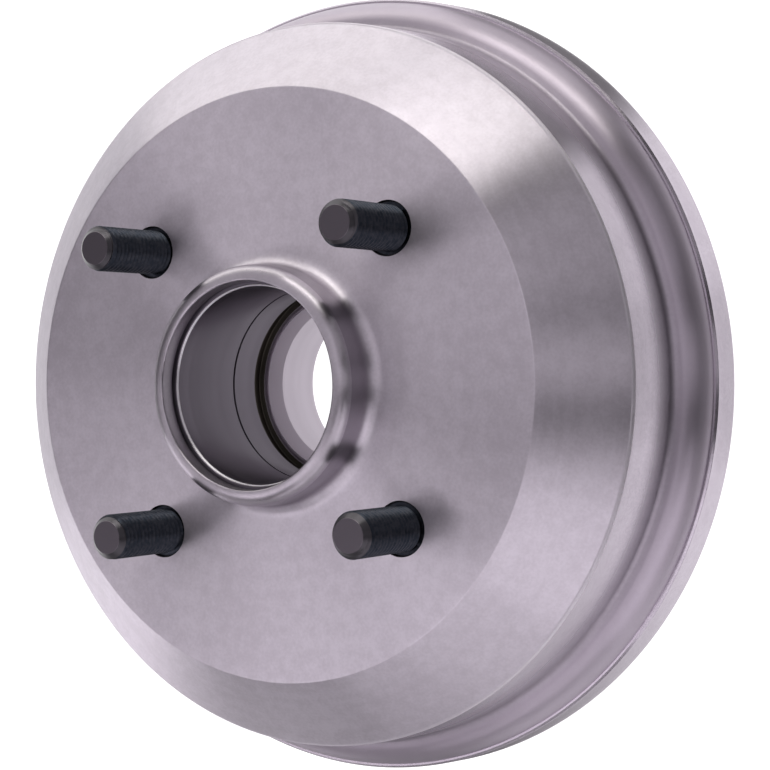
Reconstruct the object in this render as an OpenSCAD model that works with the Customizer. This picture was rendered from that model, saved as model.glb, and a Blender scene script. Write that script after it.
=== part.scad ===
// Rear brake drum with an integral wheel hub and four pressed-in wheel studs.
// The turning axis is Z. The drum stands on its open edge at z = 0, studs upward.

/* [Drum shell] */
// Diameter of the braking surface that the shoes press on
friction_d = 180; // [172:0.5:184]
// Length of the braking surface, measured up from the open edge
friction_h = 32; // [24:0.5:35]
// Height of the wheel face above the open edge
face_h = 53.5; // [51:0.5:60]
// Diameter of the flat wheel face
face_d = 157; // [150:0.5:164]
// Thickness of the web behind the wheel face
web_t = 10; // [7:0.5:12]
// Height of the cone between the wheel face and the outer wall
cone_h = 16.2; // [13:0.1:19]
// Outer diameter of the wall just below the cone
wall_d = 195; // [193:0.5:200]
// Extra diameter that the wall gains on its way down to the rim
wall_draft = 2; // [0:0.5:4]
// Radius that breaks the edge between the cone and the wall
wall_edge_r = 1.2; // [0.4:0.1:2]

/* [Open rim] */
// Outer diameter of the rim at the open edge
rim_d = 217; // [214:0.5:222]
// Height of the plain band at the open edge
band_h = 10.2; // [8:0.1:12]
// Amount by which the band narrows towards its upper edge, in diameter
band_draft = 1.2; // [0:0.2:2]
// Depth of the narrow step above the band
step_in = 1.1; // [0.6:0.1:1.6]
// Height of the rounded shoulder above the band
shoulder_h = 7.4; // [6:0.1:9]
// Radius in the corner where the shoulder meets the wall
root_r = 1.6; // [0.8:0.1:2.5]
// Diameter of the middle of the labyrinth groove in the open edge
groove_d = 199; // [198:0.5:201]
// Width of the labyrinth groove
groove_w = 5; // [3:0.5:6]
// Depth of the labyrinth groove
groove_h = 7; // [4:0.5:8]
// Distance that the inner land stands back from the open edge
land_back = 1.5; // [0.5:0.1:2.5]
// Width of the lead-in chamfer below the braking surface
lead_in = 2; // [1:0.1:3]

/* [Hub] */
// Height of the hub lip above the wheel face
lip_h = 11.9; // [9:0.1:16]
// Outer diameter of the hub lip, which centres the wheel
lip_d = 63; // [62:0.1:64]
// Radius of the fillet between the hub lip and the wheel face
lip_fillet_r = 3.6; // [2:0.2:5]
// Radius of the rounding from the outside of the lip over to its crest
lip_round_r = 3.4; // [1:0.1:3.6]
// Bore of the seat for the grease cap
cap_seat_d = 54.3; // [53.5:0.1:56]
// Depth of the grease cap seat below the crest of the lip
cap_seat_h = 5; // [3:0.1:6]
// Bore of the bearing seat
bearing_d = 52; // [50:0.5:53]
// Height of the bearing shoulder above the inner end of the hub
shoulder_z = 20.7; // [16:0.1:24]
// Width of the relief groove at the bearing shoulder
relief_w = 4; // [2:0.5:5]
// Depth of the relief groove, measured on the radius
relief_depth = 1.2; // [0.6:0.1:1.8]
// Distance from the wheel face down to the narrow ring groove in the bearing seat
ring_groove_depth = 18.5; // [15:0.1:20]
// Bore for the axle at the inner end of the hub
axle_d = 44.4; // [42:0.2:46]
// Length of the cone that leads from the shoulder to the axle bore
axle_lead_h = 4.3; // [2:0.1:5]
// Outer diameter of the hub boss at its inner end
boss_d = 66; // [64:0.5:70]
// Outer diameter of the hub boss where it joins the web
boss_root_d = 73; // [70:0.5:76]
// Radius of the fillet between the hub boss and the web
boss_fillet_r = 5.5; // [3:0.5:6]
// Gap between the inner end of the hub and the plane of the open edge
boss_back = 0.5; // [0.3:0.1:3]

/* [Wheel studs] */
// Number of wheel studs
stud_count = 4; // [3:1:5]
// Diameter of the circle through the studs
stud_pcd = 108; // [104:0.5:114.3]
// Outer diameter of the stud thread
thread_d = 12; // [10:0.5:12.5]
// Length of the stud above the wheel face
stud_h = 24; // [20:0.5:45]
// Diameter of the pressed collar
collar_d = 13.5; // [13:0.1:14.5]
// Diameter of the shallow recess round each stud in the wheel face
recess_d = 14.4; // [14.4:0.1:16]
// Depth of that recess, down to the top of the pressed collar
recess_h = 1; // [0.6:0.1:2]
// Diameter of the stud head behind the web
head_d = 20; // [17:0.5:21]
// Thickness of the stud head
head_t = 3.5; // [2.5:0.5:5]
// Length of the chamfer at the stud tip
tip_chamfer = 1.7; // [1:0.1:2.4]
// Diameter of the flat end of the stud
tip_d = 8.6; // [7.5:0.1:9]

/* [Hidden] */
// Round surfaces are true circles
$fn = 180;
// Steps in a quarter of a small fillet and in a large round
small_steps = 6;
large_steps = 14;
// Small edge breaks that every turned part has
edge_break = 0.6;
rim_edge = 0.8;
crest_round = 0.5;
seat_chamfer = 0.5;
relief_line = 0.6;
relief_line_w = 0.8;
friction_relief = 1;
friction_relief_h = 2;
inner_corner_r = 5;
// The shoulder is part of an ellipse: where it starts and ends on it, and how far out from the wall it ends
shoulder_from = 18;
shoulder_to = 80;
shoulder_run = 2.3;
// Width of the narrow ring groove in the bearing seat
ring_groove_w = 0.8;
// Overshoot that makes each cut run clear through
cut = 1;
// Angle of the first stud from the X axis
first_stud = 45;

iron = "#9d939f";
black_steel = "#26272c";

web_z = face_h - web_t;
crest_z = face_h + lip_h;
cap_floor_z = crest_z - cap_seat_h;
wall_top_z = face_h - cone_h;
root_z = band_h + shoulder_h;
root_radius = (wall_d + wall_draft) / 2;
step_radius = (rim_d - band_draft) / 2 - step_in;
// The cavity keeps the wall as thick, square to the cone, as the web over its slope
cone_dr = (wall_d - face_d) / 2;
cone_len = sqrt(cone_h * cone_h + cone_dr * cone_dr);
cone_wall_t = 8;
// Point on the inner cone at height z
function inner_cone_r(z) =
    face_d / 2 + ((face_h - z) - cone_wall_t * cone_len / cone_dr) * cone_dr / cone_h;

// Points on part of an ellipse, centre c, half-axes rx and rz, from angle a0 to a1
function arc(c, rx, rz, a0, a1, steps) =
    [for (i = [0 : steps]) let (a = a0 + (a1 - a0) * i / steps) [c[0] + rx * cos(a), c[1] + rz * sin(a)]];

// Unit vector from p to q, and the round of radius r in the corner p-q-s
function unit(p, q) = (q - p) / norm(q - p);
function corner(p, q, s, r, steps) =
    let (u = unit(q, p), v = unit(q, s),
         half = acos(u * v) / 2,
         c = q + unit([0, 0], u + v) * r / sin(half),
         t0 = q + u * r / tan(half),
         t1 = q + v * r / tan(half),
         a0 = atan2(t0[1] - c[1], t0[0] - c[0]),
         a1 = atan2(t1[1] - c[1], t1[0] - c[0]),
         turn = a1 - a0 > 180 ? a1 - a0 - 360 : a1 - a0 < -180 ? a1 - a0 + 360 : a1 - a0)
    arc(c, r, r, a0, a0 + turn, steps);

// Outside of the casting, from the open edge up to the crest of the hub lip
function outside() =
    let (wall_low = [root_radius, root_z],
         wall_top = [wall_d / 2, wall_top_z],
         face_edge = [face_d / 2, face_h],
         lip_foot = [lip_d / 2, face_h],
         lip_top = [lip_d / 2, crest_z],
         top = [root_radius + shoulder_run, root_z - edge_break / 2],
         rx = (step_radius - top[0]) / (cos(shoulder_from) - cos(shoulder_to)),
         rz = (top[1] - band_h) / (sin(shoulder_to) - sin(shoulder_from)),
         centre = top - [rx * cos(shoulder_to), rz * sin(shoulder_to)])
    concat(
        [[rim_d / 2 - rim_edge, 0], [rim_d / 2, rim_edge]],
        [[(rim_d - band_draft) / 2, band_h - edge_break], [(rim_d - band_draft) / 2 - edge_break, band_h]],
        arc(centre, rx, rz, shoulder_from, shoulder_to, large_steps),
        corner(top, wall_low + [0.15, 0.15], wall_top, root_r, small_steps),
        corner(wall_low, wall_top, face_edge, wall_edge_r, small_steps),
        corner(wall_top, face_edge, lip_foot, edge_break, 3),
        corner(face_edge, lip_foot, lip_top, lip_fillet_r, small_steps),
        corner(lip_foot, lip_top, [0, crest_z], lip_round_r, small_steps));

// Stepped bore of the hub, from the crest of the lip down to its inner end
function bore() =
    let (r_cap = cap_seat_d / 2, r_seat = bearing_d / 2, r_axle = axle_d / 2,
         r_lead = r_axle + (r_seat - r_axle) / 2,
         line_w = 0.9,
         ring_z = face_h - ring_groove_depth,
         stop_z = boss_back + shoulder_z)
    concat(
        corner([lip_d / 2, crest_z], [r_cap, crest_z], [r_cap, cap_floor_z], crest_round, small_steps),
        [[r_cap, cap_floor_z + relief_line_w], [r_cap + relief_line, cap_floor_z + relief_line_w]],
        [[r_cap + relief_line, cap_floor_z], [r_seat + seat_chamfer, cap_floor_z]],
        [[r_seat, cap_floor_z - seat_chamfer], [r_seat, ring_z + ring_groove_w / 2]],
        [[r_seat + relief_line, ring_z + ring_groove_w / 2], [r_seat + relief_line, ring_z - ring_groove_w / 2]],
        [[r_seat, ring_z - ring_groove_w / 2], [r_seat, stop_z + relief_w]],
        [[r_seat + relief_depth, stop_z + relief_w], [r_seat + relief_depth, stop_z]],
        [[r_lead + 1.3 * line_w, stop_z], [r_lead + line_w, stop_z - line_w]],
        [[r_lead, stop_z - line_w], [r_lead, stop_z], [r_axle, stop_z - axle_lead_h]],
        [[r_axle, boss_back + 2 * edge_break], [r_axle + 2 * edge_break, boss_back]]);

// Inside of the casting, from the inner end of the hub out to the open edge
function inside() =
    let (r_boss = boss_d / 2, r_root = boss_root_d / 2, r_brake = friction_d / 2,
         boss_low = [r_boss, boss_back],
         boss_web = [r_root, web_z],
         cone_web = [inner_cone_r(web_z), web_z],
         r_relief = r_brake + friction_relief,
         relief_z = friction_h + friction_relief_h,
         cone_low = [r_relief, relief_z],
         g0 = (groove_d - groove_w) / 2,
         g1 = (groove_d + groove_w) / 2)
    concat(
        corner([0, boss_back], boss_low, boss_web, 2 * edge_break, 3),
        corner(boss_low, boss_web, cone_web, boss_fillet_r, small_steps),
        corner(boss_web, cone_web, cone_low, inner_corner_r, small_steps),
        [cone_low, [r_relief, friction_h], [r_brake, friction_h]],
        [[r_brake, land_back + 1.5 * lead_in], [r_brake + lead_in, land_back]],
        [[g0, land_back], [g0, groove_h], [g1, groove_h], [g1, 0]]);

// The casting is one piece: shell, web and hub turned from the same outline
module brake_drum() {
    color(iron)
    difference() {
        rotate_extrude()
            polygon(concat(outside(), bore(), inside()));
        at_studs() stud_hole();
    }
}

// Places its child at one stud, or at all of them
module at_stud(i) {
    rotate([0, 0, first_stud + i * 360 / stud_count])
        translate([stud_pcd / 2, 0, 0])
            children();
}
module at_studs() {
    for (i = [0 : stud_count - 1]) at_stud(i) children();
}

// Hole through the web, with the shallow recess at the wheel face
module stud_hole() {
    translate([0, 0, web_z - cut]) cylinder(d = collar_d, h = web_t + 2 * cut);
    translate([0, 0, face_h - recess_h]) cylinder(d = recess_d, h = recess_h + cut);
}

// One stud: head behind the web, pressed collar, threaded shank and chamfered tip
module wheel_stud(i) {
    shank_top = face_h + stud_h - tip_chamfer;
    collar_top = face_h - recess_h;
    if (i < stud_count)
    color(black_steel)
    at_stud(i) {
        translate([0, 0, web_z - head_t]) cylinder(d1 = head_d - 2 * edge_break, d2 = head_d, h = edge_break);
        translate([0, 0, web_z - head_t + edge_break]) cylinder(d = head_d, h = head_t - edge_break);
        translate([0, 0, web_z]) cylinder(d = collar_d, h = collar_top - web_z);
        translate([0, 0, collar_top]) cylinder(d = thread_d, h = shank_top - collar_top);
        translate([0, 0, shank_top]) cylinder(d1 = thread_d, d2 = tip_d, h = tip_chamfer);
    }
}

brake_drum();
wheel_stud(0);  // wheel_stud_1
wheel_stud(1);  // wheel_stud_2
wheel_stud(2);  // wheel_stud_3
wheel_stud(3);  // wheel_stud_4
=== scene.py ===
# %% [markdown]
# # A brake drum, dressed in Blender
# The drum comes from the CAD model as a fixed frame: one turned casting and four pressed-in studs.
# This lesson loads that frame, turns the casting again as a smooth bmesh with finer rounds,
# cuts a real thread on the studs, and finishes each turned surface as the lathe leaves it.

import math

import bmesh
import bpy
from mathutils import Matrix, Vector


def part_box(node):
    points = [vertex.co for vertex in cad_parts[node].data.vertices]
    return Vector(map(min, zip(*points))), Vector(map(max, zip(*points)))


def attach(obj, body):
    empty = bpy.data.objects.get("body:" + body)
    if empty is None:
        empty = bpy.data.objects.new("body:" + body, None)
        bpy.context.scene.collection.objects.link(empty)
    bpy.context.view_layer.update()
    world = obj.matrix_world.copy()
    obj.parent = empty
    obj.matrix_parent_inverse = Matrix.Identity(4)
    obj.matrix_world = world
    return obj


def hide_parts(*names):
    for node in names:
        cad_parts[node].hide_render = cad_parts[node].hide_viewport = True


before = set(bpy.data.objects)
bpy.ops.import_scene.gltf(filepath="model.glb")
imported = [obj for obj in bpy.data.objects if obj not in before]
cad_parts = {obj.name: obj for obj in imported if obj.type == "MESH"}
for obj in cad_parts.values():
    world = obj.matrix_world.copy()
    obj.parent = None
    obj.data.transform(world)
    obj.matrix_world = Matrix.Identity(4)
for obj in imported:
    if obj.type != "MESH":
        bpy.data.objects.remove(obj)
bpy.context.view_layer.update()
scene = bpy.context.scene
MM = 0.001
print("nodes:", sorted(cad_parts))

# %% [markdown]
# ## Sizes
# The sizes are the real ones, in millimetres, and those of the CAD model. Only the crown of the cone and
# some of the small rounds are this script's own. A corner is a radius and a height above the open edge.
# Two sizes are read back from the frame, so that a mistake in the list shows up at once.

# %% Sizes of the outside
RIM_R = 108.5
BAND_R = 107.9                  # top of the plain band at the open edge
BAND_TOP = 10.2
STEP = (106.8, BAND_TOP)        # corner at the foot of the rounded shoulder
SHOULDER_TOP = (100.8, 17.3)
SHOULDER_ANGLES = (18, 80)      # the part of the ellipse that the shoulder follows, in degrees
WALL_FOOT = (98.65, 17.75)
WALL_FOOT_ROUND = 1.6           # fillet in the corner at the wall's foot
WALL_TOP = (97.5, 37.3)
CONE_CROWN = 0.2                # how far the cone bulges in the middle
FACE_R = 78.5
FACE_H = 53.5                   # wheel face above the open edge
LIP_R = 31.5
LIP_TOP = 65.4                  # crest of the hub lip
LIP_FILLET = 3.6
LIP_ROUND = 3.4

# %% Sizes of the hub and of the inside
CAP_R = 27.15                   # seat of the grease cap
UNDERCUT_R = 27.75
UNDERCUT = (60.4, 61.2)         # its lower and upper height
SEAT_R = 26.0                   # bearing seat
SEAT_TOP = 59.9
RING_GROOVE_R = 26.6
RING_GROOVE = (34.6, 35.4)      # its lower and upper height
RELIEF_R = 27.2                 # clearance below the bearing seat
RELIEF_TOP = 25.2
STOP_Z = 21.2                   # shoulder that the bearing sits on
STOP_GROOVE_R = (24.1, 25.0)    # inner and outer radius of the small groove in that shoulder
STOP_GROOVE_DEPTH = 0.9
AXLE_R = 22.2
AXLE_TOP = 16.9
BOSS_R = 36.5
WEB_Z = 43.5                    # back of the web
WEB_R = 78.1
BRAKE_R = 90.0
BRAKE_TOP = 32.0
CLEARANCE_R = 91.0              # turned clear beyond the braking surface
LAND_Z = 1.5                    # narrow land between the lead-in and the groove
GROOVE_R = (97.0, 102.0)        # inner and outer radius of the labyrinth groove in the open edge
GROOVE_TOP = 7.0

# %% Sizes of the studs
PCD_R = 54.0                    # circle that the studs stand on
STUD_R = 6.0
COLLAR_R = 6.75
RECESS_R = 7.2
COLLAR_TOP = FACE_H - 1.0
STUD_TOP = FACE_H + 24.0
HEAD_R = 10.0
HEAD_Z = WEB_Z - 3.5
low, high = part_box("brake_drum")
print("rim radius", round(high[0] / MM, 3), "against", RIM_R)
print("lip crest", round(high[2] / MM, 3), "against", LIP_TOP)

# %% [markdown]
# ## The camera
# The camera stands where the photographer's did: the drum's axis leans 32.4 degrees to the left of the
# line of sight, and the lens is a long one of 93 mm. The drum stands on its open edge, as it would on a
# bench, so the camera looks down on it. Its matrix is built from those angles.

# %% Camera
LEAN, DIP, ROLL = math.radians(-32.36), math.radians(-0.49), math.radians(2.64)
PHOTO_PX, FOCAL_PX = 770.0, 1995.0
FACE_FROM_LENS = Vector((-30.02, -0.06, -525.97))    # centre of the wheel face, as the lens sees it

axis = Vector((math.sin(LEAN), math.sin(DIP), 0.0))
axis.z = math.sqrt(1.0 - axis.x ** 2 - axis.y ** 2)
side = Vector((0, 1, 0)).cross(axis).normalized()
up = axis.cross(side)
x_seen = math.cos(ROLL) * side + math.sin(ROLL) * up
y_seen = -math.sin(ROLL) * side + math.cos(ROLL) * up
to_world = Matrix((x_seen, y_seen, axis))
lens_at = to_world @ (axis * FACE_H - FACE_FROM_LENS)

camera_data = bpy.data.cameras.new("camera")
camera_data.sensor_width = 36.0
camera_data.lens = FOCAL_PX / PHOTO_PX * camera_data.sensor_width
camera_data.clip_start = 0.01
camera_data.clip_end = 20.0
camera = bpy.data.objects.new("camera", camera_data)
scene.collection.objects.link(camera)
camera.matrix_world = Matrix.Translation(lens_at * MM) @ to_world.to_4x4()
scene.camera = camera
print("camera at", [round(v, 4) for v in camera.location], "lens", round(camera_data.lens, 2))

# %% [markdown]
# ## Writing shader maths as plain expressions
# A finish is easier to read as a formula than as a heap of nodes. `Socket` wraps one output of a node,
# and the usual operators on it add Math nodes. Any other node comes from `Finish.node`.

# %% A small language for shaders
class Socket:
    """One output of a shader node, with the operators that a formula needs."""

    def __init__(self, finish, out):
        self.finish, self.out = finish, out

    def _math(self, operation, *others):
        node = self.finish.tree.nodes.new("ShaderNodeMath")
        node.operation = operation
        for slot, value in zip(node.inputs, others):
            self.finish.feed(slot, value)
        return Socket(self.finish, node.outputs[0])

    def __add__(self, other):
        return self._math("ADD", self, other)

    def __radd__(self, other):
        return self._math("ADD", other, self)

    def __sub__(self, other):
        return self._math("SUBTRACT", self, other)

    def __rsub__(self, other):
        return self._math("SUBTRACT", other, self)

    def __mul__(self, other):
        return self._math("MULTIPLY", self, other)

    def __rmul__(self, other):
        return self._math("MULTIPLY", other, self)

    def __gt__(self, other):
        return self._math("GREATER_THAN", self, other)

    def __lt__(self, other):
        return self._math("LESS_THAN", self, other)

    def __abs__(self):
        return self._math("ABSOLUTE", self)

    def sqrt(self):
        return self._math("SQRT", self)

    def larger(self, other):
        return self._math("MAXIMUM", self, other)

    def arctan2(self, other):
        return self._math("ARCTAN2", self, other)

    def ramp(self, start, end):
        """0 at start, 1 at end, smooth between. The end may be below the start."""
        return self.finish.node("ShaderNodeMapRange", {"interpolation_type": "SMOOTHSTEP"},
                                Value=self, **{"From Min": start, "From Max": end})


class Finish:
    """One material, with its Principled shader."""

    def __init__(self, name):
        self.material = bpy.data.materials.new(name)
        self.material.use_nodes = True
        self.tree = self.material.node_tree
        self.tree.nodes.clear()
        self.output = self.tree.nodes.new("ShaderNodeOutputMaterial")
        coordinates = self.tree.nodes.new("ShaderNodeTexCoord")
        self.position = Socket(self, coordinates.outputs["Object"])

    def feed(self, slot, value):
        if isinstance(value, Socket):
            self.tree.links.new(value.out, slot)
        else:
            slot.default_value = value

    def node(self, kind, settings=None, output=0, **values):
        """Any node. A value's name is its socket's name, or _ and the socket's number."""
        made = self.tree.nodes.new(kind)
        for key, value in (settings or {}).items():
            setattr(made, key, value)
        for key, value in values.items():
            slot = made.inputs[int(key[1:])] if key[0] == "_" else made.inputs[key]
            self.feed(slot, value)
        return Socket(self, made.outputs[output])

    def xyz(self):
        split = self.tree.nodes.new("ShaderNodeSeparateXYZ")
        self.feed(split.inputs[0], self.position)
        return [Socket(self, out) for out in split.outputs]

    def noise(self, scale, detail=2.0, where=None):
        return self.node("ShaderNodeTexNoise", Vector=where or self.position,
                         Scale=scale, Detail=detail, Roughness=0.5)

    def mix_colour(self, mask, first, second):
        return self.node("ShaderNodeMix", {"data_type": "RGBA"}, output=2, _0=mask, _6=first, _7=second)

    def shader(self, **values):
        node = self.tree.nodes.new("ShaderNodeBsdfPrincipled")
        for key, value in values.items():
            self.feed(node.inputs[key.replace("_", " ")], value)
        return Socket(self, node.outputs[0])

    def bump(self, height, distance, strength=1.0):
        return self.node("ShaderNodeBump", Strength=strength, Distance=distance, Height=height)

    def done(self, shader):
        self.tree.links.new(shader.out, self.output.inputs["Surface"])
        print("finish", self.material.name, "has", len(self.tree.nodes), "nodes")
        return self.material


def tone(red, green, blue):
    return (red, green, blue, 1.0)


def grey_tone(value):
    return tone(value, value, value)


print("shader language ready")

# %% [markdown]
# ## Turning the casting
# On the lathe one outline is swept round the axis, and bmesh can do the same. The outline is drawn as
# straight runs between a few corners. Each corner carries the radius that breaks it, a vertex bevel
# rounds it, and one full spin turns the outline into the casting.

# %% Helpers that turn an outline
def open_chain(points):
    """A bmesh with the points, each a radius and a height in millimetres, joined in a row."""
    mesh = bmesh.new()
    corners = [mesh.verts.new((r * MM, 0.0, z * MM)) for r, z in points]
    for a, b in zip(corners, corners[1:]):
        mesh.edges.new((a, b))
    return mesh


def full_turn(mesh, steps, merge):
    """Spins the outline once round the axis and closes it."""
    bmesh.ops.spin(mesh, geom=mesh.verts[:] + mesh.edges[:], cent=(0, 0, 0), axis=(0, 0, 1), dvec=(0, 0, 0),
                   angle=math.tau, steps=steps, use_merge=True, use_duplicate=False)
    bmesh.ops.remove_doubles(mesh, verts=mesh.verts[:], dist=merge)
    bmesh.ops.recalc_face_normals(mesh, faces=mesh.faces[:])
    return mesh


def turned(outline, steps, segments=6):
    """A closed outline of (radius, height, rounding) in millimetres, rounded and turned."""
    mesh = open_chain([(r, z) for r, z, rounding in outline])
    corners = mesh.verts[:]
    mesh.edges.new((corners[-1], corners[0]))
    for i, (r, z, rounding) in enumerate(outline):
        if not rounding:
            continue
        before = Vector(outline[i - 1][:2]) - Vector((r, z))
        after = Vector(outline[(i + 1) % len(outline)][:2]) - Vector((r, z))
        reach = rounding / math.tan(before.angle(after) / 2.0)
        bmesh.ops.bevel(mesh, geom=[corners[i]], offset=reach * MM, offset_type="OFFSET",
                        affect="VERTICES", segments=segments, profile=0.5, material=-1)
    return full_turn(mesh, steps, 1e-6)


def plug(points, steps):
    """An outline that starts and ends on the axis, turned into a closed plug."""
    return full_turn(open_chain(points), steps, 1e-7)


print("lathe ready")

# %% [markdown]
# Two stretches of the outline need more than a rounded corner. The shoulder above the rim is part of an
# ellipse. The cone isn't quite straight: across its width the light on the photographed one drifts a
# little, so here it is crowned by a fifth of a millimetre.

# %% Curved stretches of the outline
def part_round(first, last, start, end, steps):
    """Corners on the part of an ellipse that runs from one point to another, between two angles."""
    start, end = math.radians(start), math.radians(end)
    radius_r = (first[0] - last[0]) / (math.cos(start) - math.cos(end))
    radius_z = (last[1] - first[1]) / (math.sin(end) - math.sin(start))
    centre = (last[0] - radius_r * math.cos(end), last[1] - radius_z * math.sin(end))
    angles = [start + (end - start) * i / steps for i in range(steps + 1)]
    return [(centre[0] + radius_r * math.cos(a), centre[1] + radius_z * math.sin(a), 0) for a in angles]


def crowned(first, last, rise, steps):
    """Corners between two others that lift a straight run into a shallow curve."""
    along = Vector(last) - Vector(first)
    out = Vector((along.y, -along.x)).normalized()
    shares = [i / steps for i in range(1, steps)]
    return [(*(Vector(first) + along * s + out * rise * math.sin(math.pi * s)), 0) for s in shares]


shoulder_run = part_round(STEP, SHOULDER_TOP, *SHOULDER_ANGLES, 20)
cone_run = crowned(WALL_TOP, (FACE_R, FACE_H), CONE_CROWN, 8)
print(len(shoulder_run), "corners on the shoulder,", len(cone_run), "on the cone")

# %% [markdown]
# The outline runs from the open edge up the outside, over the hub lip, down the stepped bore and back
# along the inside. It is written feature by feature, in the order in which a tool would follow it. A few
# points on the long flat runs are there only to keep the shading of the rounds close to the rounds.

# %% Outline of the casting
open_edge = [(RIM_R - 0.8, 0, 0), (RIM_R, 0.8, 0.5),
             (BAND_R, BAND_TOP - 0.6, 0.3), (STEP[0] + 0.5, BAND_TOP, 0)]
wall_run = [(*WALL_FOOT, WALL_FOOT_ROUND), (*WALL_TOP, 1.2)]
face_run = [(FACE_R, FACE_H, 0.6), (FACE_R - 1.5, FACE_H, 0), (LIP_R + 5.1, FACE_H, 0)]
lip_run = [(LIP_R, FACE_H, LIP_FILLET), (LIP_R, LIP_TOP, LIP_ROUND)]
cap_seat = [(CAP_R, LIP_TOP, 0.5), (CAP_R, UNDERCUT[1], 0), (UNDERCUT_R, UNDERCUT[1], 0.1),
            (UNDERCUT_R, UNDERCUT[0], 0.1)]
bearing_seat = [(SEAT_R + 0.5, UNDERCUT[0], 0), (SEAT_R, SEAT_TOP, 0.2),
                (SEAT_R, RING_GROOVE[1], 0), (RING_GROOVE_R, RING_GROOVE[1], 0),
                (RING_GROOVE_R, RING_GROOVE[0], 0), (SEAT_R, RING_GROOVE[0], 0),
                (SEAT_R, RELIEF_TOP, 0), (RELIEF_R, RELIEF_TOP, 0.2), (RELIEF_R, STOP_Z, 0.3)]
stop_groove = [(STOP_GROOVE_R[1] + 0.27, STOP_Z, 0), (STOP_GROOVE_R[1], STOP_Z - STOP_GROOVE_DEPTH, 0),
               (STOP_GROOVE_R[0], STOP_Z - STOP_GROOVE_DEPTH, 0), (STOP_GROOVE_R[0], STOP_Z, 0)]
axle_run = [(AXLE_R, AXLE_TOP, 0.5), (AXLE_R, 1.7, 0.2), (AXLE_R + 1.2, 0.5, 0)]
boss_run = [(BOSS_R - 3.5, 0.5, 1.2), (BOSS_R, WEB_Z, 5.5)]
web_run = [(BOSS_R + 6.0, WEB_Z, 0), (WEB_R - 2.1, WEB_Z, 0), (WEB_R, WEB_Z, 5.0)]
brake_run = [(CLEARANCE_R, BRAKE_TOP + 2.0, 0), (CLEARANCE_R, BRAKE_TOP, 0), (BRAKE_R, BRAKE_TOP, 0),
             (BRAKE_R, LAND_Z + 3.0, 0.2), (BRAKE_R + 2.0, LAND_Z, 0.2)]
labyrinth = [(GROOVE_R[0], LAND_Z, 0.2), (GROOVE_R[0], GROOVE_TOP, 0.4), (GROOVE_R[1], GROOVE_TOP, 0.4),
             (GROOVE_R[1], 0.0, 0.2)]
outline = open_edge + shoulder_run + wall_run + cone_run + face_run + lip_run
outline += cap_seat + bearing_seat + stop_groove + axle_run + boss_run + web_run + brake_run + labyrinth
print(len(outline), "corners in the outline")

# %% [markdown]
# ## Drilling
# The casting comes off the lathe solid, so the four stud holes are drilled next, each with the shallow
# recess that surrounds the stud in the wheel face. The drill is a stepped plug, also a turned outline,
# and the Boolean modifier takes it out of the casting. The edges are marked sharp only after drilling,
# because the drilling makes new ones.

# %% Helpers that move meshes about
def stud_places():
    """The number, the angle and the place of each stud."""
    for i in range(4):
        angle = math.radians(45.0 + 90.0 * i)
        yield i + 1, angle, Vector((PCD_R * math.cos(angle), PCD_R * math.sin(angle), 0.0)) * MM


def add_to(mesh, other):
    """Adds one bmesh to another and frees it."""
    data = bpy.data.meshes.new("added")
    other.to_mesh(data)
    other.free()
    mesh.from_mesh(data)
    bpy.data.meshes.remove(data)


def placed(mesh, name, material=None):
    """Makes a bmesh an object of the scene and frees it."""
    data = bpy.data.meshes.new(name)
    mesh.to_mesh(data)
    mesh.free()
    if material is not None:
        data.materials.append(material)
    piece = bpy.data.objects.new(name, data)
    scene.collection.objects.link(piece)
    return piece


print("studs at", [[round(v, 4) for v in place] for number, angle, place in stud_places()])

# %% Turn and drill the casting
def drilled(mesh, drills):
    """Takes the drills out of the mesh and gives back a new bmesh."""
    blanks = [placed(mesh, "blank"), placed(drills, "drills")]
    cut = blanks[0].modifiers.new("drill", "BOOLEAN")
    cut.operation = "DIFFERENCE"
    cut.solver = "EXACT"
    cut.object = blanks[1]
    bpy.context.view_layer.update()
    result = bmesh.new()
    result.from_object(blanks[0], bpy.context.evaluated_depsgraph_get())
    for blank in blanks:
        data = blank.data
        bpy.data.objects.remove(blank)
        bpy.data.meshes.remove(data)
    return result


DRUM_STEPS = 256
DRILL_STEPS = 64
drum_mesh = turned(outline, DRUM_STEPS)
turned_volume = drum_mesh.calc_volume() / MM ** 3
drills = bmesh.new()
for number, angle, place in stud_places():
    one = plug([(0, WEB_Z - 1), (COLLAR_R, WEB_Z - 1), (COLLAR_R, COLLAR_TOP), (RECESS_R, COLLAR_TOP),
                (RECESS_R, FACE_H + 1), (0, FACE_H + 1)], DRILL_STEPS)
    one.transform(Matrix.Translation(place))
    add_to(drills, one)
drum_mesh = drilled(drum_mesh, drills)
print("turned", round(turned_volume), "mm3, drilled", round(drum_mesh.calc_volume() / MM ** 3), "mm3")

# %% [markdown]
# ## Wheel studs
# A wheel stud is a steel bolt pressed through the web from behind. Its head and its pressed collar are a
# turned outline like the drum. The thread isn't: a rolled thread is one ridge that climbs as it goes
# round. So the zigzag of its flanks is drawn once along the shank and swept with a spin that climbs one
# pitch in a full turn, which makes the flanks of one turn meet those of the next. Both ends are then
# cut flat, and the tip is drawn in to its chamfer.

# %% Sizes of the thread
PITCH = 1.5
THREAD_DEPTH = 0.92
CREST_BREAK = 0.06
ROOT_BREAK = 0.08
TIP_R = 4.3
TIP_CUTS = (0.25, 0.5, 1.0, 1.4, 1.7)     # rings below the tip, for the chamfer to bend at
TURN_STEPS = 48
print("thread", 2 * STUD_R, "x", PITCH)

# %% The threaded shank
def cut_at(mesh, height, drop_above=False, drop_below=False):
    bmesh.ops.bisect_plane(mesh, geom=mesh.verts[:] + mesh.edges[:] + mesh.faces[:], dist=1e-7,
                           plane_co=(0, 0, height * MM), plane_no=(0, 0, 1),
                           clear_outer=drop_above, clear_inner=drop_below)


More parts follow.
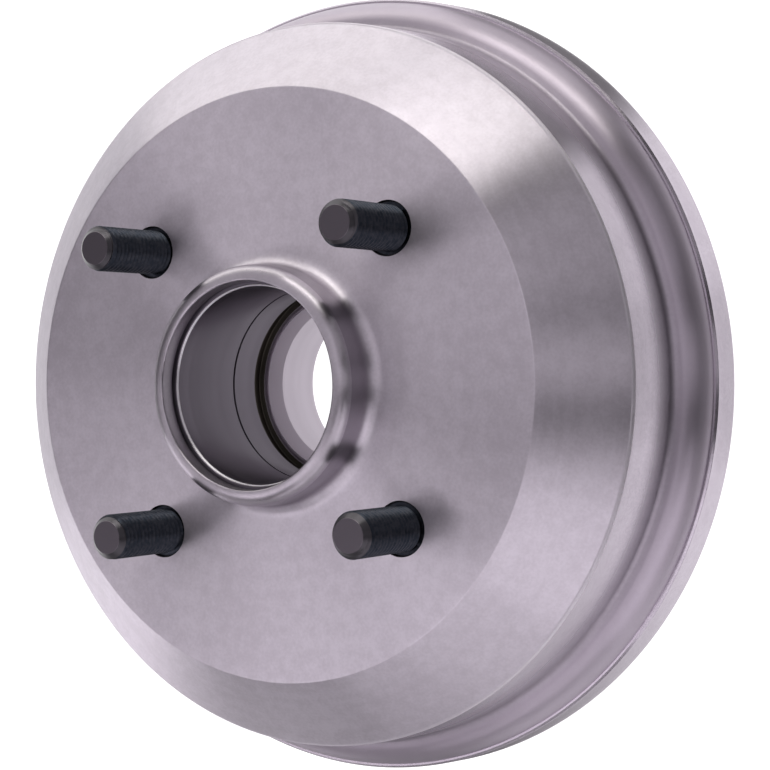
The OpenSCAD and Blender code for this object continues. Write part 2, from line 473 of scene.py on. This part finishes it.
def threaded_shank(bottom, top):
    """A rolled thread between two heights, with its chamfer, still open at both ends."""
    root = STUD_R - THREAD_DEPTH
    one_turn = [(STUD_R - CREST_BREAK, 0.0), (STUD_R, 0.05), (STUD_R, 0.19), (STUD_R - CREST_BREAK, 0.24),
                (root + ROOT_BREAK, 0.74), (root, 0.85), (root, 0.9), (root + ROOT_BREAK, 1.0)]
    turns = math.ceil((top - bottom) / PITCH) + 2
    start = bottom - 1.5 * PITCH
    mesh = open_chain([(r, start + turn * PITCH + rise)
                       for turn in range(turns + 1) for r, rise in one_turn])
    bmesh.ops.spin(mesh, geom=mesh.verts[:] + mesh.edges[:], cent=(0, 0, 0), axis=(0, 0, 1),
                   dvec=(0, 0, PITCH * MM / TURN_STEPS), angle=math.tau, steps=TURN_STEPS,
                   use_duplicate=False)
    bmesh.ops.remove_doubles(mesh, verts=mesh.verts[:], dist=2e-6)
    cut_at(mesh, bottom, drop_below=True)
    cut_at(mesh, top, drop_above=True)
    for depth in TIP_CUTS:
        cut_at(mesh, top - depth)
    for vert in mesh.verts:
        radius = math.hypot(vert.co.x, vert.co.y)
        limit = (TIP_R + max(top - vert.co.z / MM, 0.0)) * MM
        if radius > limit:
            vert.co.x *= limit / radius
            vert.co.y *= limit / radius
    return mesh


print("thread depth", THREAD_DEPTH, "mm")

# %% The whole stud
def rim_edges(mesh, height):
    return [e for e in mesh.edges if e.is_boundary and all(abs(v.co.z - height * MM) < 1e-6 for v in e.verts)]


def wheel_stud():
    mesh = plug([(0, HEAD_Z), (HEAD_R - 0.6, HEAD_Z), (HEAD_R, HEAD_Z + 0.6), (HEAD_R, WEB_Z),
                 (COLLAR_R, WEB_Z), (COLLAR_R, COLLAR_TOP)], TURN_STEPS)
    add_to(mesh, threaded_shank(COLLAR_TOP, STUD_TOP))
    bmesh.ops.triangle_fill(mesh, use_beauty=True, edges=rim_edges(mesh, COLLAR_TOP), normal=(0, 0, 1))
    bmesh.ops.holes_fill(mesh, edges=rim_edges(mesh, STUD_TOP), sides=0)
    bmesh.ops.recalc_face_normals(mesh, faces=mesh.faces[:])
    return mesh


stud_mesh = wheel_stud()
open_edges = sum(not e.is_manifold for e in stud_mesh.edges)
print("stud:", len(stud_mesh.faces), "faces,", open_edges, "open edges, volume",
      round(stud_mesh.calc_volume() / MM ** 3), "mm3")

# %% [markdown]
# ## Zones of the casting
# The casting is grey iron, and each part of it was made in its own way. The outside is turned all over.
# The hub lip, the bores, the wall and the shoulder each had their own tool and feed, and the outside, the
# shoulder and the hub lip are given a darker tone. The corner at the wall's foot is hard to reach, so it is
# left rougher. Painted shade darkens that corner, the bores, the relief groove, the hub lip's outer wall and
# the recess round each stud, and a painted highlight lies on the mouth of the bearing seat and the top edge
# of the wall. The back of the web and the boss keep the skin of the sand mould. A zone is a mask of 0 and 1,
# or fades between them. It goes by radius and height on the drum, so that it stays where it is however the
# drum is turned.

# %% Zones
class Zones:
    """Masks of the casting's surfaces, from the radius and the height in millimetres."""

    def __init__(self, r, z):
        self.cast = (z < WEB_Z + 0.1) * (r > BOSS_R - 4.1) * (r < FACE_R - 0.3)
        # Where painted shade darkens the inside of the hub.
        self.bores = (r < UNDERCUT_R + 0.15) * (z - 60.2).ramp(4.7, 0.0)
        # Where painted shade darkens the relief groove below the bearing seat.
        self.relief = (r < RELIEF_R + 0.2) * (z < RELIEF_TOP + 0.1) * (r > 25.6)
        self.deep_bore = (r < 25.6) * (z < RELIEF_TOP + 0.1)
        # Where a painted highlight lies on the mouth of the bearing seat and the top edge of the wall.
        self.seat_edge = (r < SEAT_R + 0.32) * (z > SEAT_TOP - 0.2) * (z < SEAT_TOP + 0.4)
        self.wall_edge = (r > WALL_TOP[0] - 0.6) * (z > WALL_TOP[1] - 0.7)
        self.outside = r > WALL_TOP[0] - 0.3
        self.shoulder = (z < 18.0) * z.ramp(9.6, 11.0) * r.ramp(99.6, 101.2)
        # Where painted shade darkens the corner at the wall's foot, which is also rougher.
        self.wall_foot = self.outside * z.ramp(29.0, 17.5) * r.ramp(102.0, 98.6)
        self.lip = (r < LIP_R + 3.9) * z.ramp(FACE_H + 0.9, FACE_H + 2.7)
        # The lip's outer wall, darkened further with painted shade.
        self.lip_wall = self.lip * (z < LIP_TOP - 2.8) * (r > LIP_R - 1.0)
        self.face = (z > FACE_H - 0.1) * (r > LIP_R + 3.9)


def from_nearest_stud(finish, x, y):
    """Distance from the middle of the nearest stud. The four are mirrored into one quarter."""
    middle = PCD_R * math.sqrt(0.5)
    offset = finish.node("ShaderNodeCombineXYZ", X=abs(x) - middle, Y=abs(y) - middle, Z=0.0)
    return finish.node("ShaderNodeVectorMath", {"operation": "LENGTH"}, output=1, _0=offset)


print("zones go by radius and height")

# %% [markdown]
# ## Turned iron
# Turning leaves fine rings, so the metal spreads light across them more than along them: that is the
# anisotropy, and its direction runs round the axis by itself. The rings are noise read at the radius and
# the height alone, and the grain of the iron is a faint mottle over them. The tones of the zones are laid
# over the turned metal one after another, the last on top.

# %% Tones of the iron
PALE, DEEP = tone(0.668, 0.620, 0.685), tone(0.570, 0.524, 0.582)
OUTSIDE_TONE = tone(0.44, 0.385, 0.455)
# Painted shade in the corner at the wall's foot.
CORNER_SHADE_TONE = tone(0.16, 0.13, 0.17)
# Darker tone of the hub lip; the extra on its outer wall is painted shade.
LIP_TONE_AND_SHADE = tone(0.26, 0.235, 0.265)
# Painted shade inside the hub's bores.
BORE_TONE = tone(0.170, 0.152, 0.180)
# Painted shade in the relief groove.
RELIEF_SHADE_TONE = tone(0.10, 0.09, 0.075)
DEEP_BORE_TONE = tone(0.50, 0.45, 0.51)
# Painted highlight on the mouth of the bearing seat and the top edge of the wall.
EDGE_HIGHLIGHT_TONE = tone(0.92, 0.89, 0.93)
CAST_TONE = tone(0.16, 0.15, 0.15)
# Painted shade in the recess round each stud.
RECESS_SHADE_TONE = tone(0.015, 0.015, 0.018)
print("turned iron between", PALE[:3], "and", DEEP[:3])

# %% Finish of the casting
def iron_finish():
    finish = Finish("turned_iron")
    x, y, z = finish.xyz()
    radius = (x * x + y * y).sqrt()
    x_mm, y_mm, z_mm = x * (1.0 / MM), y * (1.0 / MM), z * (1.0 / MM)
    zone = Zones(radius * (1.0 / MM), z_mm)
    # The recess round each stud, darkened with painted shade.
    recess = (from_nearest_stud(finish, x_mm, y_mm) < RECESS_R + 0.08) * (z_mm < FACE_H - 0.04)

    rings_at = finish.node("ShaderNodeCombineXYZ", X=radius, Y=z, Z=0.0)
    fine_rings = finish.noise(2600.0, 1.0, rings_at)
    wide_rings = finish.noise(420.0, 2.0, rings_at)
    mottle = finish.noise(260.0, 3.0)
    specks = finish.noise(1200.0, 2.0)
    patches = finish.noise(38.0, 2.0)
    rings = (wide_rings - 0.5) * (1.0 - zone.face * 0.7)

    grain = (mottle - 0.5) * 0.9 + (patches - 0.5) * 0.7 + rings * 0.5 + (specks - 0.5) * 0.8
    colour = finish.mix_colour((grain + 0.5).ramp(0.1, 0.9), DEEP, PALE)
    for mask, zone_tone in ((zone.outside * 0.3 + zone.shoulder * 0.45, OUTSIDE_TONE),
                            (zone.wall_foot * 0.42, CORNER_SHADE_TONE),
                            (zone.lip * 0.42 + zone.lip_wall * 0.35, LIP_TONE_AND_SHADE),
                            (zone.bores, BORE_TONE),
                            (zone.relief, RELIEF_SHADE_TONE),
                            (zone.deep_bore, DEEP_BORE_TONE),
                            (zone.seat_edge + zone.wall_edge * 0.35, EDGE_HIGHLIGHT_TONE),
                            (zone.cast, CAST_TONE),
                            (recess, RECESS_SHADE_TONE)):
        colour = finish.mix_colour(mask, colour, zone_tone)

    roughness = (0.36 + rings * 0.10 + (patches - 0.5) * 0.08 + zone.cast * 0.3
                 - zone.lip * 0.06 - zone.outside * 0.15 + zone.seat_edge * 0.2 + zone.wall_edge * 0.3
                 + zone.shoulder * 0.14 + zone.wall_foot * 0.2)
    height = fine_rings * 0.5 + rings * 0.35 + mottle * 0.08 + zone.cast * (mottle * 8.0 + specks * 4.0)
    return finish.done(finish.shader(Base_Color=colour, Metallic=1.0 - zone.cast * 0.7, Roughness=roughness,
                                     Anisotropic=0.85, Anisotropic_Rotation=0.25,
                                     Normal=finish.bump(height, 0.02 * MM, 0.6)))


iron = iron_finish()

# %% [markdown]
# ## Blackened steel
# The studs are rolled steel with a black conversion coating: dark, a little blue, with a dull gloss that
# catches the light on each crest of the thread. On the chamfer and the flat tip it is worn a little
# lighter, where nuts and sockets touch it.

# %% Finish of the studs
SHANK_DARK, SHANK_LIGHT = tone(0.022, 0.026, 0.035), tone(0.042, 0.044, 0.054)
CHAMFER_TONE = tone(0.070, 0.066, 0.074)
TIP_TONE = tone(0.115, 0.102, 0.118)


def stud_finish():
    finish = Finish("black_steel")
    grain = finish.noise(900.0, 3.0)
    z = finish.xyz()[2]
    colour = finish.mix_colour(grain.ramp(0.3, 0.75), SHANK_DARK, SHANK_LIGHT)
    colour = finish.mix_colour(z > (STUD_TOP - 1.6) * MM, colour, CHAMFER_TONE)
    colour = finish.mix_colour(z > (STUD_TOP - 0.1) * MM, colour, TIP_TONE)
    return finish.done(finish.shader(Base_Color=colour, Metallic=1.0, Roughness=0.26 + grain * 0.12,
                                     Normal=finish.bump(grain, 0.02 * MM, 0.5)))


black_steel = stud_finish()

# %% [markdown]
# ## Putting the pieces in place
# A turned surface is smooth, with sharp edges only where it really turns a corner, so each edge is marked
# by the angle between its faces. Each new piece takes the place of one solid of the CAD model, and rides
# on the only body there is, because nothing on a drum moves against the rest.

# %% Pieces
def shade(mesh, sharp_angle):
    for face in mesh.faces:
        face.smooth = True
    for edge in mesh.edges:
        if len(edge.link_faces) == 2:
            edge.smooth = edge.calc_face_angle(0.0) < math.radians(sharp_angle)


def finished(mesh, name, material):
    piece = placed(mesh, name, material)
    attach(piece, "root")
    triangles = sum(len(p.vertices) - 2 for p in piece.data.polygons)
    print(name, len(piece.data.vertices), "vertices,", triangles, "triangles")
    return piece


shade(drum_mesh, 28.0)
drum = finished(drum_mesh, "turned_drum", iron)
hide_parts("brake_drum")
for number, angle, place in stud_places():
    mesh = stud_mesh.copy()
    mesh.transform(Matrix.Translation(place) @ Matrix.Rotation(angle, 4, "Z"))
    shade(mesh, 40.0)
    stud = finished(mesh, "threaded_stud_%d" % number, black_steel)
    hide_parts("wheel_stud_%d" % number)
stud_mesh.free()

# %% [markdown]
# ## Floor and light
# Bare metal shows what stands round it, so the light is a ring of soft panels rather than lamps, over a
# floor that is white and glows. So the floor stays white behind the drum and lights it from below.

# %% Floor
FLOOR_HALF = 6.0
FLOOR_GLOW = 1.08
FLOOR_BASE = 0.30


def glowing(finish, base, colour):
    """A dull surface that gives off light of its own."""
    return finish.done(finish.shader(Base_Color=base, Roughness=0.9, Specular_IOR_Level=0.0,
                                     Emission_Color=colour, Emission_Strength=FLOOR_GLOW))


floor_mesh = bmesh.new()
floor_corners = ((-FLOOR_HALF, -FLOOR_HALF, 0), (FLOOR_HALF, -FLOOR_HALF, 0),
                 (FLOOR_HALF, FLOOR_HALF, 0), (-FLOOR_HALF, FLOOR_HALF, 0))
floor_mesh.faces.new([floor_mesh.verts.new(corner) for corner in floor_corners])
floor = placed(floor_mesh, "floor", glowing(Finish("floor_white"), grey_tone(FLOOR_BASE), grey_tone(1.0)))

# %% [markdown]
# The edge of bare metal is drawn by what is dark beside it. A photographer lays a dark card, a flag, just
# outside the picture, so that the rim and the wall turn dark towards it. Here the flag lies on the floor on
# the camera's side, and is hidden from the camera: only the metal's reflections show it. It is printed from
# black to the floor's own white, so that its ends leave no line on the metal. Three rings of it matter:
# the contact ring beside the rim, which carries the shade that a real floor has under the drum, a near ring
# that the wall reflects, and a far one that the shoulder reflects.

# %% Flag
FLAG_RADII = (108.7, 900.0)
FLAG_AZIMUTHS = (-150.0, 82.0)
FLAG_BASE = 0.05


def flag_grey(azimuth, radius):
    """How white the card is printed, by azimuth in degrees and radius in millimetres, and its ends."""
    left, right = azimuth.ramp(-22.0, -58.0), azimuth.ramp(38.0, 60.0)
    front = azimuth.ramp(-18.0, -6.0) * azimuth.ramp(18.0, 6.0)
    behind = azimuth.ramp(-94.0, -106.0) * azimuth.ramp(-146.0, -130.0) * radius.ramp(180.0, 240.0)
    beside = azimuth.ramp(-72.0, -88.0) * azimuth.ramp(-112.0, -96.0)
    contact = (0.95 - front * 0.22 - azimuth.ramp(-24.0, -84.0) * 0.88
               - azimuth.ramp(32.0, 46.0) * 0.75 + azimuth.ramp(67.0, 74.0) * 0.8)
    near = (1.05 - front * 0.22 - left * 0.45 - azimuth.ramp(-62.0, -84.0) * 0.34
            - azimuth.ramp(34.0, 46.0) * 0.86)
    far = 0.94 * (left + right) - 0.62 * behind.larger(beside)
    grey = near + (contact - near) * radius.ramp(115.0, 112.0)
    grey = grey + (far - grey) * radius.ramp(127.0, 137.0)
    ends = azimuth.ramp(FLAG_AZIMUTHS[0], -132.0) * azimuth.ramp(FLAG_AZIMUTHS[1], 72.0)
    return 1.0 + (grey - 1.0) * ends, ends


def flag_finish():
    finish = Finish("flag")
    x, y = finish.xyz()[:2]
    azimuth = y.arctan2(x) * (180.0 / math.pi)
    radius = (x * x + y * y).sqrt() * (1.0 / MM)
    grey, ends = flag_grey(azimuth, radius)
    colour = finish.mix_colour(grey, grey_tone(0.0), tone(1.0, 0.975, 1.0))
    base = finish.mix_colour(ends, grey_tone(FLOOR_BASE), grey_tone(FLAG_BASE))
    return glowing(finish, base, colour)


flag_mesh = bmesh.new()
flag_mesh.edges.new([flag_mesh.verts.new((r * MM, 0.0, 0.5 * MM)) for r in FLAG_RADII])
bmesh.ops.rotate(flag_mesh, verts=flag_mesh.verts[:], cent=(0, 0, 0),
                 matrix=Matrix.Rotation(math.radians(FLAG_AZIMUTHS[0]), 3, "Z"))
bmesh.ops.spin(flag_mesh, geom=flag_mesh.verts[:] + flag_mesh.edges[:], cent=(0, 0, 0), axis=(0, 0, 1),
               dvec=(0, 0, 0), angle=math.radians(FLAG_AZIMUTHS[1] - FLAG_AZIMUTHS[0]), steps=96,
               use_duplicate=False)
flag = placed(flag_mesh, "flag", flag_finish())
flag.visible_camera = False
flag.visible_diffuse = False
flag.visible_shadow = False
print("flag from", FLAG_RADII[0], "to", FLAG_RADII[1], "mm")

# %% [markdown]
# Each panel fills a span of azimuth and of elevation, as seen from the drum, with the camera near azimuth 0.
# That is how a turned surface sees its surroundings: the point of the cone that faces an azimuth mirrors
# what stands there. A bright window stands beyond the top of the picture and a long, dimmer panel beyond
# the bottom, each with a weaker one above it. Grey walls stand on the camera's side, and a strip and two
# panels behind light the far side of the cone.

# %% Panels
CENTRE = Vector((0.0, 0.0, 0.04))
DISTANCE = 1.2
COOL, WARM = (1.03, 0.985, 1.04), (1.0, 0.995, 0.93)


def direction(azimuth, elevation):
    a, e = math.radians(azimuth), math.radians(elevation)
    return Vector((math.cos(e) * math.cos(a), math.cos(e) * math.sin(a), math.sin(e)))


def between(name, left, right, low, high, radiance, colour):
    """A soft rectangular light that fills a span of azimuth and of elevation."""
    azimuth, elevation = (left + right) / 2.0, (low + high) / 2.0
    wide = (right - left) * math.cos(math.radians(elevation))
    lamp = bpy.data.lights.new(name, "AREA")
    lamp.shape = "RECTANGLE"
    lamp.size = 2.0 * DISTANCE * math.tan(math.radians(wide / 2.0))
    lamp.size_y = 2.0 * DISTANCE * math.tan(math.radians((high - low) / 2.0))
    lamp.energy = radiance * math.pi * lamp.size * lamp.size_y
    lamp.color = colour
    light = bpy.data.objects.new(name, lamp)
    scene.collection.objects.link(light)
    towards = direction(azimuth, elevation)
    light.matrix_world = (Matrix.Translation(CENTRE + towards * DISTANCE)
                          @ towards.to_track_quat("Z", "Y").to_matrix().to_4x4())
    print(name, "at", [round(v, 2) for v in light.matrix_world.translation], "energy", round(lamp.energy, 2))


between("top_window", 60, 100, 18, 38, 3.3, WARM)
between("top_window_end", 97, 146, 0, 22, 1.9, WARM)
between("low_panel", 246, 345, 18, 36, 1.28, COOL)
between("low_panel_left", 222, 248, 8, 20, 0.6, COOL)
between("low_panel_front", 298, 334, 3, 18, 0.9, COOL)
between("low_panel_top", 242, 339, 43, 73, 0.88, COOL)
between("back_panel", 200, 232, 40, 70, 1.6, COOL)
between("left_panel", 176, 211, 31, 50, 0.78, COOL)
between("left_strip", 190, 212, 0, 25, 1.45, COOL)
between("left_strip_end", 212, 222, 0, 22, 0.4, COOL)
between("overhead", 60, 175, 26, 88, 0.50, COOL)
between("front_wall", -8, 14, 12, 88, 0.46, COOL)
between("front_wall_right", 14, 56, 12, 88, 0.34, COOL)

# %% [markdown]
# What no panel fills is a dark grey room. The view transform is the plain one, so that the floor's white
# is the picture's white.

# %% Surroundings
world = bpy.data.worlds.new("studio")
world.use_nodes = True
background = world.node_tree.nodes["Background"]
background.inputs["Color"].default_value = tone(0.06, 0.058, 0.062)
background.inputs["Strength"].default_value = 1.0
scene.world = world
scene.view_settings.view_transform = "Standard"
scene.view_settings.look = "None"
scene.view_settings.exposure = 0.0
print("room", list(background.inputs["Color"].default_value))

# %% [markdown]
# ## The end

# %% The end
print("done")
